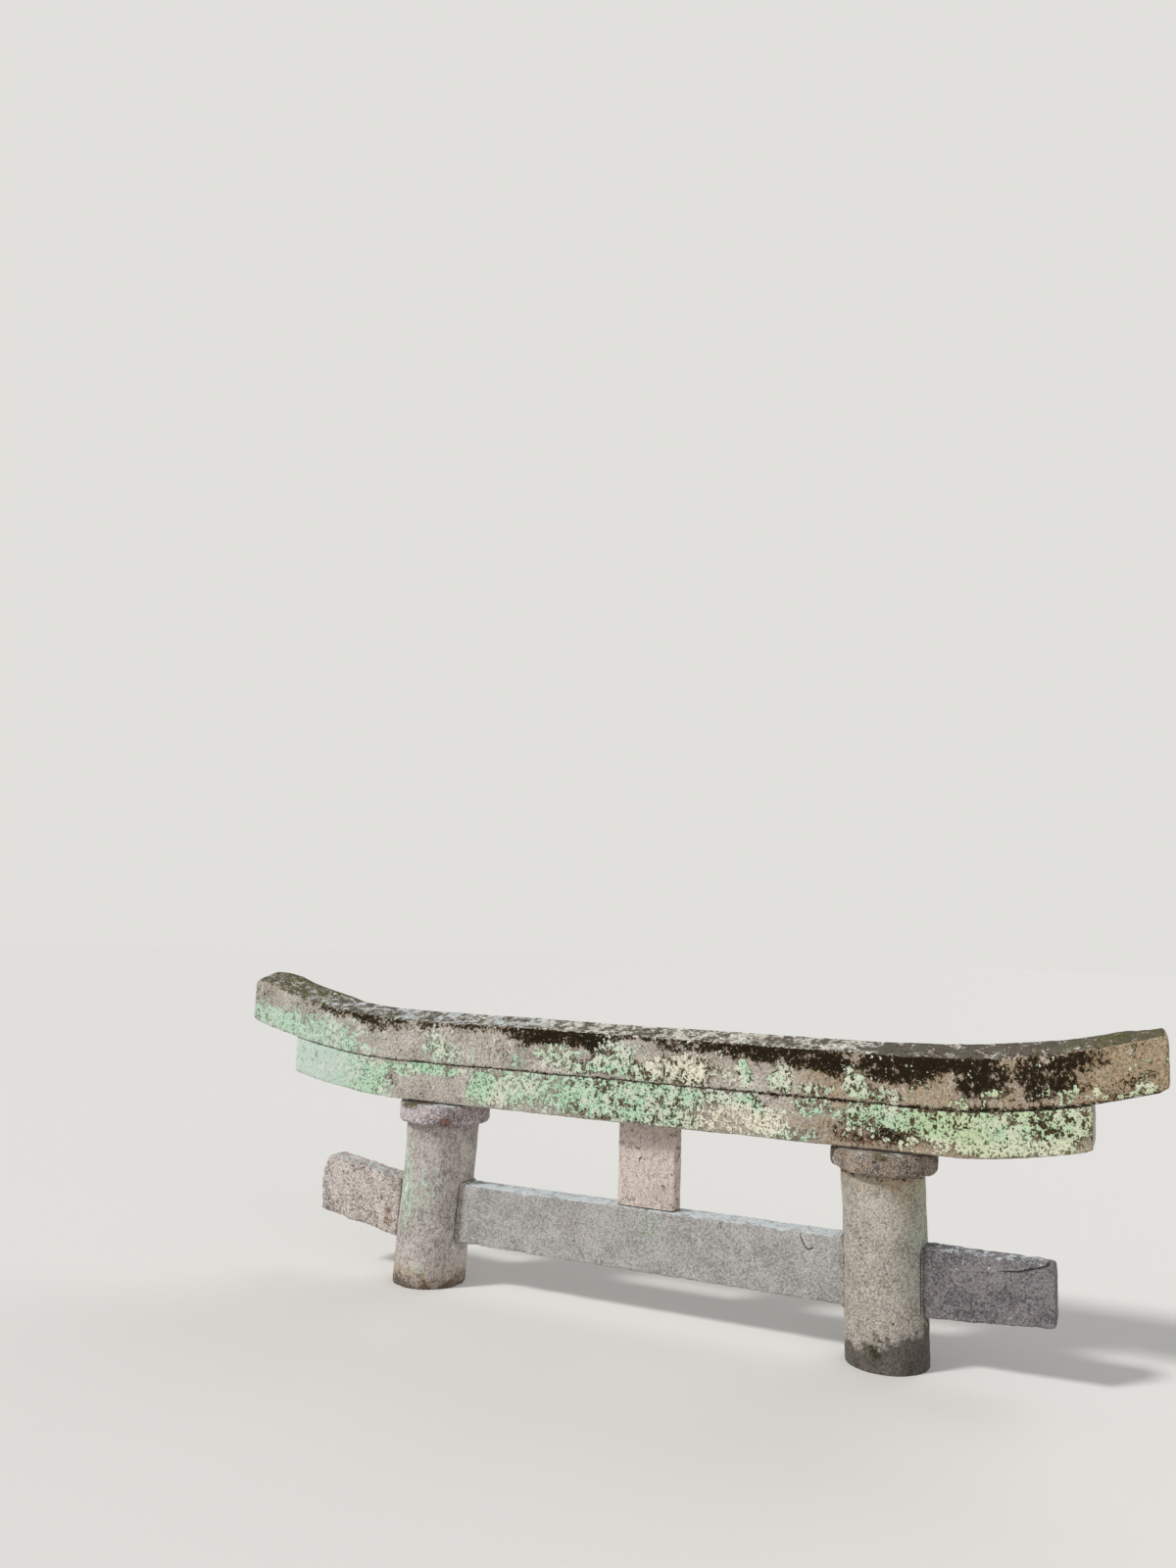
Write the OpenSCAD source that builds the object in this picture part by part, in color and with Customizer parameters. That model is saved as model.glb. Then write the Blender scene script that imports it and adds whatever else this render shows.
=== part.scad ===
// Old stone shrine gate, as much of it as stands above the ground, in millimetres.
// Two round pillars with disc capitals carry a lower lintel and a gabled top lintel.
// Each lintel is two stones that meet over the strut and turn up at the ends.
// A tie beam runs into both pillars, and its left end has dropped and tilted.
// X runs along the beams, Y to the back, Z up. The origin is on the ground, midway.

/* [Pillars] */
// Distance between the pillar axes at the capitals
pillar_spacing = 1850; // [1500:10:2200]
// Diameter of a pillar
pillar_d = 293; // [240:1:340]
// Height of the pillars from the ground to the capitals
pillar_h = 665; // [560:5:900]
// How far the left pillar's foot stands outward of its head
left_foot_out = 48; // [0:2:70]
// How far the right pillar's foot stands outward of its head
right_foot_out = 13; // [0:1:70]
// Diameter of the tenon on a pillar's head
tenon_d = 110; // [80:2:140]
// Height of the tenon above the capital's bed
tenon_rise = 50; // [30:2:80]

/* [Capitals] */
// Diameter of a capital
capital_d = 380; // [360:2:440]
// Height of a capital
capital_h = 79; // [60:1:110]
// Radius of the rounded edges of a capital
capital_round = 18; // [6:1:28]
// Thickness of the mortar bed on a capital
bed_t = 6; // [3:1:12]
// How far the bed stays back from the lintel's faces and the capital's rim
bed_inset = 10; // [4:1:20]

/* [Lower lintel] */
// Half length of the lower lintel
lower_reach = 1626; // [1500:2:1740]
// Height of the lower lintel at mid length
lower_h = 161; // [130:1:200]
// Thickness of the lower lintel
lower_t = 263; // [230:1:275]
// Distance from the middle at which its underside starts to turn up
lower_bend_x = 1003; // [940:1:1080]
// Radius of the upturned underside
lower_bend_r = 2597; // [2400:1:3200]

/* [Top lintel] */
// Half length of the top lintel
top_reach = 1864; // [1760:1:1960]
// Height of the top lintel's vertical faces
top_side_h = 170; // [130:1:210]
// Rise from the upper edges of those faces to the ridge
ridge_rise = 32; // [16:1:60]
// Thickness of the top lintel
top_t = 280; // [276:1:330]
// Distance from the middle at which the joint under it starts to turn up
top_bend_x = 1039; // [960:1:1100]
// Radius of that upturned joint
top_bend_r = 2751; // [2500:1:3200]

/* [Lintel joint] */
// Place of the joint between the two stones of each lintel
joint_x = 120; // [60:2:130]
// Width of the joint
joint_w = 4; // [2:1:8]
// Depth to which the mortar in the joint has weathered back
joint_recess = 6; // [2:1:12]

/* [Tie beam] */
// Height of the tie beam's underside above the ground
tie_z = 182; // [120:2:240]
// Height of the tie beam
tie_h = 234; // [180:2:260]
// Thickness of the tie beam
tie_t = 104; // [84:1:130]
// Half length of the tie beam
tie_reach = 1507; // [1360:1:1620]
// Angle at which the broken left end points up
left_end_tilt = 9.5; // [0:0.5:12]
// How far the root of the left end has dropped
left_end_drop = 13; // [0:1:30]
// How much further the left end's top reaches than its underside
left_end_rake = 27; // [0:1:40]
// How far the right end's underside rises towards its tip
right_end_rise = 30; // [0:1:50]
// Clearance beside and over the tie beam in its mortises
mortise_clear = 3; // [1:0.5:6]
// Gap between two ends that meet inside a pillar
meet_gap = 4; // [2:0.5:10]
// Thickness of the mortar that bonds the left end to its pillar
bond_t = 12; // [6:1:24]
// How far the mortar stands out from a pillar around the tie beam
collar_t = 16; // [8:1:30]
// Width of the mortar around the tie beam
collar_lip = 16; // [8:1:30]

/* [Strut] */
// Width of the strut
strut_w = 240; // [200:2:280]
// Thickness of the strut
strut_t = 70; // [56:1:84]
// Place of the strut's middle
strut_x = 17; // [0:1:30]
// Thickness of the bed under the strut
strut_bed_t = 4; // [2:1:8]
// How far that bed stays back from the strut's faces
strut_bed_inset = 3; // [1:1:8]
// Width of the tenons on the strut
strut_tenon_w = 80; // [50:2:110]
// Thickness of the tenons on the strut
strut_tenon_t = 30; // [20:1:44]
// Length of the tenons on the strut
strut_tenon_h = 25; // [12:1:40]
// Clearance round every tenon
tenon_clear = 2; // [0.5:0.5:4]

/* [Hidden] */

// Facets of a full circle, for the pillars and for the long arcs of the lintels
$fn = 96;
arc_fn = 360;
// Overrun of every cut past the surface it opens
cut = 20;
// Angle that the top lintel's arc is swept through before its end is cut
arc_sweep = 45;

pillar_r = pillar_d / 2;
capital_top_z = pillar_h + capital_h;
lower_z = capital_top_z + bed_t;
top_z = lower_z + lower_h;
tie_top_z = tie_z + tie_h;
tie_mid_z = tie_z + tie_h / 2;
tenon_top_z = lower_z + tenon_rise;
strut_foot_z = tie_top_z + strut_bed_t;
lower_arc_z = lower_z + lower_bend_r;
top_arc_z = top_z + top_bend_r;
top_face_r = top_bend_r - top_side_h;
ridge_r = top_face_r - ridge_rise;

// Distance of a pillar's axis from the middle, at a height above the ground
function axis_x(foot_out, z) = pillar_spacing / 2 + foot_out * (pillar_h - z) / pillar_h;

// Angle of a pillar from the vertical
function lean(foot_out) = atan(foot_out / pillar_h);

// The left half is shaped on the right side and mirrored
module to_left() {
    mirror([1, 0, 0]) children();
}

// Box centred on the X axis, given by its ends along X, its thickness and its heights
module beam(x0, x1, t, z0, z1) {
    translate([x0, -t / 2, z0]) cube([x1 - x0, t, z1 - z0]);
}

// Upright slab centred on the X axis, with its outline seen from the front
module slab(t) {
    translate([0, t / 2, 0]) rotate([90, 0, 0]) linear_extrude(t) children();
}

// Leaning round shaft, longer than the pillar at both ends
module shaft(foot_out, r) {
    translate([pillar_spacing / 2, 0, pillar_h])
        rotate([0, -lean(foot_out), 0])
            translate([0, 0, -pillar_h - pillar_d])
                cylinder(h = pillar_h + 2 * pillar_d, r = r);
}

// Upright column between two heights at the place of a capital
module at_capital(d, z0, z1) {
    translate([pillar_spacing / 2, 0, z0]) cylinder(h = z1 - z0, d = d);
}

// Slot for the tie beam, from one distance from the middle to another
module mortise(x0, x1) {
    beam(x0, x1, tie_t + 2 * mortise_clear, tie_z, tie_top_z + mortise_clear);
}

module pillar_stone(foot_out) {
    intersection() {
        shaft(foot_out, pillar_r);
        beam(0, pillar_spacing, 2 * pillar_d, 0, pillar_h);
    }
    at_capital(tenon_d, pillar_h, tenon_top_z);
}

module capital_stone() {
    edge_r = capital_d / 2 - capital_round;
    translate([pillar_spacing / 2, 0, pillar_h])
        difference() {
            rotate_extrude() {
                square([edge_r, capital_h]);
                translate([0, capital_round])
                    square([capital_d / 2, capital_h - 2 * capital_round]);
                for (z = [capital_round, capital_h - capital_round])
                    translate([edge_r, z]) circle(r = capital_round);
            }
            translate([0, 0, -cut])
                cylinder(h = capital_h + 2 * cut, d = tenon_d + 2 * tenon_clear);
        }
}

module capital_mortar() {
    difference() {
        intersection() {
            at_capital(capital_d - 2 * bed_inset, capital_top_z, lower_z);
            beam(0, pillar_spacing, lower_t - 2 * bed_inset, capital_top_z, lower_z);
        }
        at_capital(tenon_d + 2 * tenon_clear, capital_top_z - cut, lower_z + cut);
    }
}

// Stone of the lower lintel from a joint face to its upturned end
module lower_stone(x0) {
    difference() {
        slab(lower_t) lower_outline(x0);
        at_capital(tenon_d + 2 * tenon_clear, lower_z - cut, tenon_top_z + tenon_clear);
    }
}

// Front view of that stone, with its own arc below and the top lintel's arc above
module lower_outline(x0) {
    intersection() {
        union() {
            translate([x0, lower_z]) square([lower_bend_x - x0, top_arc_z - lower_z]);
            intersection() {
                translate([lower_bend_x, lower_z])
                    square([lower_reach - lower_bend_x, top_arc_z - lower_z]);
                translate([lower_bend_x, lower_arc_z]) circle(r = lower_bend_r, $fn = arc_fn);
            }
        }
        difference() {
            translate([x0, lower_z]) square([lower_reach - x0, top_arc_z - lower_z]);
            translate([x0, top_z]) square([top_bend_x - x0, top_arc_z]);
            translate([top_bend_x, top_arc_z]) circle(r = top_bend_r, $fn = arc_fn);
        }
    }
}

// Gabled section of the top lintel, set in from its faces where mortar fills the joint
module top_section(inset) {
    half_t = top_t / 2 - inset;
    side_z = top_side_h - inset;
    polygon([[-half_t, 0], [half_t, 0], [half_t, side_z], [0, side_z + ridge_rise],
             [-half_t, side_z]]);
}

// Stone of the top lintel: straight from the joint, then swept round the arc
module top_stone(x0) {
    translate([x0, 0, top_z])
        rotate([90, 0, 90]) linear_extrude(top_bend_x - x0) top_section(0);
    intersection() {
        translate([top_bend_x, 0, top_arc_z])
            rotate([90, 0, 0])
                rotate([0, 0, -90])
                    rotate_extrude(angle = arc_sweep, $fn = arc_fn)
                        polygon([[top_bend_r, -top_t / 2], [top_bend_r, top_t / 2],
                                 [top_face_r, top_t / 2], [ridge_r, 0],
                                 [top_face_r, -top_t / 2]]);
        beam(top_bend_x, top_reach, 2 * top_t, top_z, top_arc_z);
    }
}

module tie_stone(x0, x1) {
    beam(x0, x1, tie_t, tie_z, tie_top_z);
}

// Frame in which the left end lies level, at its root on the pillar's outer face
module at_left_root() {
    root_z = tie_z - left_end_drop;
    root_x = axis_x(left_foot_out, root_z) + pillar_r;
    translate([root_x, 0, root_z]) rotate([0, -left_end_tilt, 0]) children();
}

module left_end_stone() {
    end_l = tie_reach - axis_x(left_foot_out, tie_z - left_end_drop) - pillar_r;
    difference() {
        at_left_root()
            slab(tie_t)
                polygon([[-pillar_r, 0], [end_l, 0], [end_l + left_end_rake, tie_h],
                         [-pillar_r, tie_h]]);
        shaft(left_foot_out, pillar_r + bond_t);
    }
}

// Right end, with a level underside as far as its mortar and a rising one beyond
module right_end_stone() {
    x0 = axis_x(right_foot_out, tie_mid_z) + meet_gap / 2;
    root_x = axis_x(right_foot_out, tie_z) + pillar_r + collar_t;
    slab(tie_t)
        polygon([[x0, tie_z], [root_x, tie_z], [tie_reach, tie_z + right_end_rise],
                 [tie_reach, tie_top_z], [x0, tie_top_z]]);
}

module left_end_bond() {
    difference() {
        intersection() {
            at_left_root()
                beam(-pillar_r, pillar_r, tie_t + 2 * collar_lip, -collar_lip, tie_h + collar_lip);
            shaft(left_foot_out, pillar_r + bond_t);
        }
        shaft(left_foot_out, pillar_r);
    }
}

// Mortar round the tie beam on one side of a pillar, between two distances from the middle
module collar(foot_out, x0, x1) {
    difference() {
        intersection() {
            beam(x0, x1, tie_t + 2 * collar_lip, tie_z - collar_lip, tie_top_z + collar_lip);
            shaft(foot_out, pillar_r + collar_t);
        }
        shaft(foot_out, pillar_r);
        beam(x0 - cut, x1 + cut, tie_t, tie_z, tie_top_z);
    }
}

// Box round the strut's own middle, for its tenons and their sockets
module tenon_block(w, t, z0, z1) {
    beam(strut_x - w / 2, strut_x + w / 2, t, z0, z1);
}

module strut_sockets() {
    w = strut_tenon_w + 2 * tenon_clear;
    t = strut_tenon_t + 2 * tenon_clear;
    tenon_block(w, t, strut_foot_z - strut_tenon_h - tenon_clear, tie_top_z + cut);
    tenon_block(w, t, lower_z - cut, lower_z + strut_tenon_h + tenon_clear);
}

module pillar_left() {
    color("rosybrown")
        to_left()
            difference() {
                pillar_stone(left_foot_out);
                mortise(0, axis_x(left_foot_out, tie_mid_z));
            }
}

module pillar_right() {
    color("tan")
        difference() {
            pillar_stone(right_foot_out);
            mortise(0, pillar_spacing);
        }
}

module capital_left() {
    color("thistle") to_left() capital_stone();
}

module capital_right() {
    color("rosybrown") capital_stone();
}

module capital_bed_left() {
    color("lightgray") to_left() capital_mortar();
}

module capital_bed_right() {
    color("lightgray") capital_mortar();
}

module lower_lintel_left() {
    color("darkseagreen")
        difference() {
            to_left() lower_stone(joint_w / 2 - joint_x);
            strut_sockets();
        }
}

module lower_lintel_right() {
    color("darkseagreen") lower_stone(joint_x + joint_w / 2);
}

module lower_lintel_joint() {
    color("dimgray")
        beam(joint_x - joint_w / 2, joint_x + joint_w / 2, lower_t - 2 * joint_recess,
             lower_z + joint_recess, top_z);
}

module top_lintel_left() {
    color("darkkhaki") to_left() top_stone(joint_w / 2 - joint_x);
}

module top_lintel_right() {
    color("darkkhaki") top_stone(joint_x + joint_w / 2);
}

module top_lintel_joint() {
    color("dimgray")
        translate([joint_x - joint_w / 2, 0, top_z])
            rotate([90, 0, 90]) linear_extrude(joint_w) top_section(joint_recess);
}

module tie_beam_middle() {
    color("gray")
        difference() {
            tie_stone(meet_gap / 2 - axis_x(left_foot_out, tie_mid_z),
                      axis_x(right_foot_out, tie_mid_z) - meet_gap / 2);
            strut_sockets();
        }
}

module tie_beam_end_left() {
    color("slategray") to_left() left_end_stone();
}

module tie_beam_end_right() {
    color("slategray") right_end_stone();
}

module tie_mortar_left_inner() {
    color("lightgray") to_left() collar(left_foot_out, 0, pillar_spacing / 2);
}

module tie_mortar_left_outer() {
    color("burlywood") to_left() left_end_bond();
}

module tie_mortar_right_inner() {
    color("lightgray") collar(right_foot_out, 0, pillar_spacing / 2);
}

module tie_mortar_right_outer() {
    color("lightgray") collar(right_foot_out, pillar_spacing / 2, pillar_spacing);
}

module strut() {
    color("mistyrose") {
        tenon_block(strut_w, strut_t, strut_foot_z, lower_z);
        tenon_block(strut_tenon_w, strut_tenon_t, strut_foot_z - strut_tenon_h,
                    lower_z + strut_tenon_h);
    }
}

module strut_bed() {
    color("dimgray")
        difference() {
            tenon_block(strut_w - 2 * strut_bed_inset, strut_t - 2 * strut_bed_inset,
                        tie_top_z, strut_foot_z);
            strut_sockets();
        }
}

pillar_left();
pillar_right();
capital_left();
capital_right();
capital_bed_left();
capital_bed_right();
lower_lintel_left();
lower_lintel_right();
lower_lintel_joint();
top_lintel_left();
top_lintel_right();
top_lintel_joint();
tie_beam_middle();
tie_beam_end_left();
tie_beam_end_right();
tie_mortar_left_inner();
tie_mortar_left_outer();
tie_mortar_right_inner();
tie_mortar_right_outer();
strut();
strut_bed();
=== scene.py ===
import math

import bmesh
import bpy
import numpy as np
from mathutils import Matrix, Vector


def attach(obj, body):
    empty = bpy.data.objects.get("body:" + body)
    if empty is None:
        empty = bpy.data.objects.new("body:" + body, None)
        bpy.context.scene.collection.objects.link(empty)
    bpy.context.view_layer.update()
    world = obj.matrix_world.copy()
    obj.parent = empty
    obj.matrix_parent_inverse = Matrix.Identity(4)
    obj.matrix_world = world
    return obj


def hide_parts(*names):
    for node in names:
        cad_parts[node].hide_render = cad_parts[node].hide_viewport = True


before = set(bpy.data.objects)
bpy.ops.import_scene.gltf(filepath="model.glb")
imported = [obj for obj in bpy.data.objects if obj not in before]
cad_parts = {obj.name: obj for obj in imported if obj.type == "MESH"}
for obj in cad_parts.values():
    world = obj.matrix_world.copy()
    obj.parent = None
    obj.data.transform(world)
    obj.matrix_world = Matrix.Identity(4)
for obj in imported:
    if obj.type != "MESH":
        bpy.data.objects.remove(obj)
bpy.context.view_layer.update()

# Camera, in the frame's metres and in radians, with its focal length in image pixels
CAMERA_PLACE = (1.760, -4.480, 1.554)
CAMERA_YAW = 0.4301
CAMERA_PITCH = 0.1085
CAMERA_ROLL = 0.0276
FOCAL_PX = 1209.9
IMAGE_HEIGHT_PX = 1600
SENSOR_MM = 36

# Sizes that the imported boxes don't give, as in the source of the solids
TOP_JOINT_Z = 0.911
TOP_BEND_X = 1.039
TOP_BEND_R = 2.751
TOP_SIDE_H = 0.170
RIDGE_RISE = 0.032
TOP_HALF_T = 0.140
TOP_REACH = 1.864
LOWER_H = 0.161
LINTEL_JOINT_X = 0.120
JOINT_HALF_W = 0.002
PILLAR_X = 0.925
PILLAR_H = 0.665
CAPITAL_MIDDLE_Z = 0.7045
CAPITAL_HALF_H = 0.0395
CAPITAL_R = 0.190
CAPITAL_ROUND = 0.018
LEFT_FOOT_OUT = 0.048
RIGHT_FOOT_OUT = 0.013
TIE_BOTTOM = 0.182
TIE_TOP = 0.416
TIE_HALF_T = 0.052
MORTAR_ROOT = 0.139
TIE_REACH = 1.507
RIGHT_END_RISE = 0.030
STRUT_FOOT = 0.420
LOWER_Z = 0.750
LEFT_END_H = 0.235
# Outer corners of the tie beam's dropped left end, along the beam and up
LEFT_END_TOP = (-1.4896, 0.4702)
LEFT_END_FOOT = (-1.5015, 0.235)

# Spacing of the points on the dressed stones
LINTEL_SPACING = 0.0052
PILLAR_SPACING = 0.0054
TIE_SPACING = 0.0052
SMALL_SPACING = 0.0046
MORTAR_SPACING = 0.0040
# How far a face that is buried or cut flat moves out before the stone is meshed again
OVERRUN = 0.010
# Where the cuts lie: off the middle of the lintels' joints, and above the strut's foot
JOINT_CUT = 0.0008
STRUT_CUT = 0.0006

# Each lamp's name, place, strength and angular size
LAMPS = (("key", (-4.0, -4.2, 5.0), 2.4, 0.16),
         ("fill", (4.0, -4.0, 2.0), 0.35, 1.0),
         ("back", (2.0, 5.0, 3.0), 0.9, 0.8))
SKY_STRENGTH = 0.36
FLOOR_RADIUS = 40
FLOOR_SIDES = 96


def hashed(cells, seed):
    """Random value from 0 to 1 for each whole-number cell, the same on every run."""
    x, y, z = (cells[:, k].astype(np.uint64) for k in range(3))
    mixed = x * np.uint64(374761393) + y * np.uint64(668265263) + z * np.uint64(2246822519)
    mixed = (mixed + np.uint64(seed * 3266489917 + 12345)) & np.uint64(0xFFFFFFFF)
    mixed = ((mixed ^ (mixed >> np.uint64(13))) * np.uint64(1274126177)) & np.uint64(0xFFFFFFFF)
    mixed = ((mixed ^ (mixed >> np.uint64(15))) * np.uint64(2246822519)) & np.uint64(0xFFFFFFFF)
    return (mixed ^ (mixed >> np.uint64(16))).astype(float) / 0xFFFFFFFF


def smooth_noise(points, size, seed):
    """Smooth random value from -1 to 1 at each point, with features about size across."""
    place = points / size + 37.7 * seed
    base = np.floor(place).astype(np.int64)
    part = place - base
    fade = part * part * (3 - 2 * part)
    total = np.zeros(len(points))
    for corner in range(8):
        step = np.array([corner & 1, corner >> 1 & 1, corner >> 2 & 1])
        weight = np.where(step, fade, 1 - fade).prod(axis=1)
        total += weight * hashed(base + step, seed)
    return total * 2 - 1


def layered_noise(points, size, layers, seed):
    """Sum of noises, each half the size and half the height of the one before."""
    total = np.zeros(len(points))
    for layer in range(layers):
        total += smooth_noise(points, size / 2 ** layer, seed + layer) / 2 ** layer
    return total


def pits(points, spacing, seed, share):
    """Depth from 0 to 1 of round pits scattered one to a cell, in a share of the cells."""
    cells = np.floor(points / spacing).astype(np.int64)
    depth = np.zeros(len(points))
    for step in np.ndindex(3, 3, 3):
        cell = cells + np.array(step) - 1
        middle = np.stack([hashed(cell, seed + k) for k in range(3)], axis=1)
        radius = spacing * (0.2 + 0.35 * hashed(cell, seed + 3))
        there = hashed(cell, seed + 4) < share
        gap = np.linalg.norm(points - (cell + middle) * spacing, axis=1) / radius
        depth = np.maximum(depth, np.where(there, np.clip(1 - gap * gap, 0, 1), 0))
    return depth


def ramp(value, low, high):
    """Smooth step from 0 at low to 1 at high."""
    t = np.clip((value - low) / (high - low), 0, 1)
    return t * t * (3 - 2 * t)


def spots(across, up, places):
    """Sum of soft flat-topped ovals: middle across, middle up, half width, half height, weight."""
    total = np.zeros(len(across))
    for at, height, half_w, half_h, weight in places:
        gap = ((across - at) / half_w) ** 2 + ((up - height) / half_h) ** 2
        total += weight * np.exp(-gap * gap)
    return total


def hollows(points, places):
    """Depth of soft dents: middle x, y and z, radius along x, y and z, and depth."""
    depth = np.zeros(len(points))
    for place in places:
        gap = (((points - place[:3]) / place[3:6]) ** 2).sum(axis=1)
        depth += place[6] * np.exp(-gap)
    return depth


def beside_line(across, up, corners):
    """Distance in centimetres from a bent line, positive on one side and negative on the other."""
    nearest = np.full(len(across), 9.0)
    for (x0, z0), (x1, z1) in zip(corners, corners[1:]):
        run, rise = x1 - x0, z1 - z0
        along = ((across - x0) * run + (up - z0) * rise) / (run ** 2 + rise ** 2)
        along = np.clip(along, 0, 1)
        gap = np.hypot(across - x0 - along * run, up - z0 - along * rise)
        side = np.sign(run * (up - z0) - rise * (across - x0))
        nearest = np.where(gap < np.abs(nearest), gap * side, nearest)
    return nearest * 100


def get_points(mesh):
    flat = np.empty(len(mesh.vertices) * 3, np.float32)
    mesh.vertices.foreach_get("co", flat)
    return flat.reshape(-1, 3).astype(float)


def set_points(mesh, points):
    mesh.vertices.foreach_set("co", points.astype(np.float32).ravel())
    mesh.update()


def get_normals(mesh):
    flat = np.empty(len(mesh.vertices) * 3, np.float32)
    mesh.vertex_normals.foreach_get("vector", flat)
    return flat.reshape(-1, 3).astype(float)


def relaxed(mesh, points, rounds):
    """Points after some rounds of moving each one half way to its neighbours' middle."""
    flat = np.empty(len(mesh.edges) * 2, np.int32)
    mesh.edges.foreach_get("vertices", flat)
    first, second = flat.reshape(-1, 2).T
    count = len(points)
    degree = np.bincount(first, minlength=count) + np.bincount(second, minlength=count)
    for _ in range(rounds):
        middle = np.stack([np.bincount(first, points[second, k], count)
                           + np.bincount(second, points[first, k], count)
                           for k in range(3)], axis=1) / degree[:, None]
        points = (points + middle) / 2
    return points


def dense_copy(name, node, spacing, moved_faces):
    """A copy of a CAD node's mesh, meshed again with even quads about spacing wide.

    Each moved face is (axis, place, shift): its points go that far along the axis first.
    """
    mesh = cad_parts[node].data.copy()
    corners = get_points(mesh)
    for axis, place, shift in moved_faces:
        corners[np.abs(corners[:, axis] - place) < 2e-4, axis] += shift
    set_points(mesh, corners)
    work = bmesh.new()
    work.from_mesh(mesh)
    bmesh.ops.remove_doubles(work, verts=work.verts, dist=1e-5)
    work.to_mesh(mesh)
    work.free()
    rough = bpy.data.objects.new(name + "_rough", mesh)
    bpy.context.scene.collection.objects.link(rough)
    remesh = rough.modifiers.new("even_mesh", "REMESH")
    remesh.mode = "VOXEL"
    remesh.voxel_size = spacing
    bpy.context.view_layer.update()
    seen = rough.evaluated_get(bpy.context.evaluated_depsgraph_get())
    dense = bpy.data.meshes.new_from_object(seen)
    bpy.data.objects.remove(rough)
    dense.name = name
    dense.materials.clear()
    piece = bpy.data.objects.new(name, dense)
    bpy.context.scene.collection.objects.link(piece)
    return piece


def cut_flat(mesh, axis, place, side):
    """Cuts away what lies beyond a plane across an axis, and closes the stone there."""
    normal = [0, 0, 0]
    normal[axis] = side
    origin = [0, 0, 0]
    origin[axis] = place
    work = bmesh.new()
    work.from_mesh(mesh)
    cut = bmesh.ops.bisect_plane(work, geom=work.verts[:] + work.edges[:] + work.faces[:],
                                 plane_co=origin, plane_no=normal, clear_outer=True)
    rim = [item for item in cut["geom_cut"] if isinstance(item, bmesh.types.BMEdge)]
    for cap in bmesh.ops.edgeloop_fill(work, edges=rim)["faces"]:
        cap.smooth = False
    work.to_mesh(mesh)
    work.free()


def weathered(name, node, spacing, seed, wear=1.0, pit_share=0.25, relief=1.0, reshape=None,
              moved_faces=(), cuts=(), dents=()):
    """A stone from its CAD node: its own crooked shape, worn edges with chips, a rough face."""
    piece = dense_copy(name, node, spacing, moved_faces)
    mesh = piece.data
    for polygon in mesh.polygons:
        polygon.use_smooth = True
    points = get_points(mesh)
    if reshape:
        points = reshape(points)
    sharp = relaxed(mesh, points, 3)
    worn = relaxed(mesh, sharp, 9)
    broken = relaxed(mesh, worn, 22)
    edge = np.linalg.norm(broken - sharp, axis=1)
    patchy = layered_noise(sharp, 0.09, 3, seed)
    amount = np.clip(wear * (0.5 + 0.5 * patchy), 0.1, 1)[:, None]
    chipped = np.clip(wear * ramp(layered_noise(sharp, 0.06, 3, seed + 9), 0.55, 1.1), 0, 1)[:, None]
    points = sharp + (worn - sharp) * amount + (broken - sharp) * chipped
    set_points(mesh, points)
    normals = get_normals(mesh)
    depth = 0.0014 * relief * layered_noise(points, 0.19, 2, seed + 3)
    depth += 0.0011 * relief * layered_noise(points, 0.034, 2, seed + 5)
    depth += 0.0008 * relief * smooth_noise(points, 0.0135, seed + 7)
    depth += 0.0022 * relief * pits(points, 0.024, seed + 20, pit_share)
    nicks = ramp(smooth_noise(points, 0.021, seed + 11), 0.35, 0.75) * ramp(edge, 0.002, 0.005)
    depth += 0.0030 * wear * nicks - 0.0006 + hollows(points, dents)
    set_points(mesh, points - normals * depth[:, None])
    for axis, place, side in cuts:
        cut_flat(mesh, axis, place, side)
    return piece


def round_corner(points, x, z, up, radius):
    """Rounds the outward corner that is at x and z, seen from the front."""
    out = np.sign(x)
    across = (points[:, 0] - x) * out + radius
    height = (points[:, 2] - z) * up + radius
    gap = np.hypot(across, height)
    pull = np.where((across > 0) & (height > 0) & (gap > radius), radius / np.maximum(gap, 1e-9), 1)
    points[:, 0] = x + out * (across * pull - radius)
    points[:, 2] = z + up * (height * pull - radius)
    return points


def joint_height(x):
    """Height of the joint under the top lintel, straight in the middle and an arc outside."""
    over = np.clip(np.abs(x) - TOP_BEND_X, 0, None)
    return TOP_JOINT_Z + TOP_BEND_R - np.sqrt(TOP_BEND_R ** 2 - over ** 2)


def roof_height(x, y):
    """Height of the top lintel's gabled top."""
    over = np.clip(np.abs(x) - TOP_BEND_X, 0, None)
    rise = RIDGE_RISE * np.clip(1 - np.abs(y) / TOP_HALF_T, 0, 1)
    radius = TOP_BEND_R - TOP_SIDE_H - rise
    return TOP_JOINT_Z + TOP_BEND_R - np.sqrt(radius ** 2 - over ** 2)


def sag(x):
    """Share of the joint's sag in the right half, where the real stones lie a little low."""
    return ramp(x, 0.92, 1.18) * (1 - 0.6 * ramp(x, 1.62, 1.84))


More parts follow.
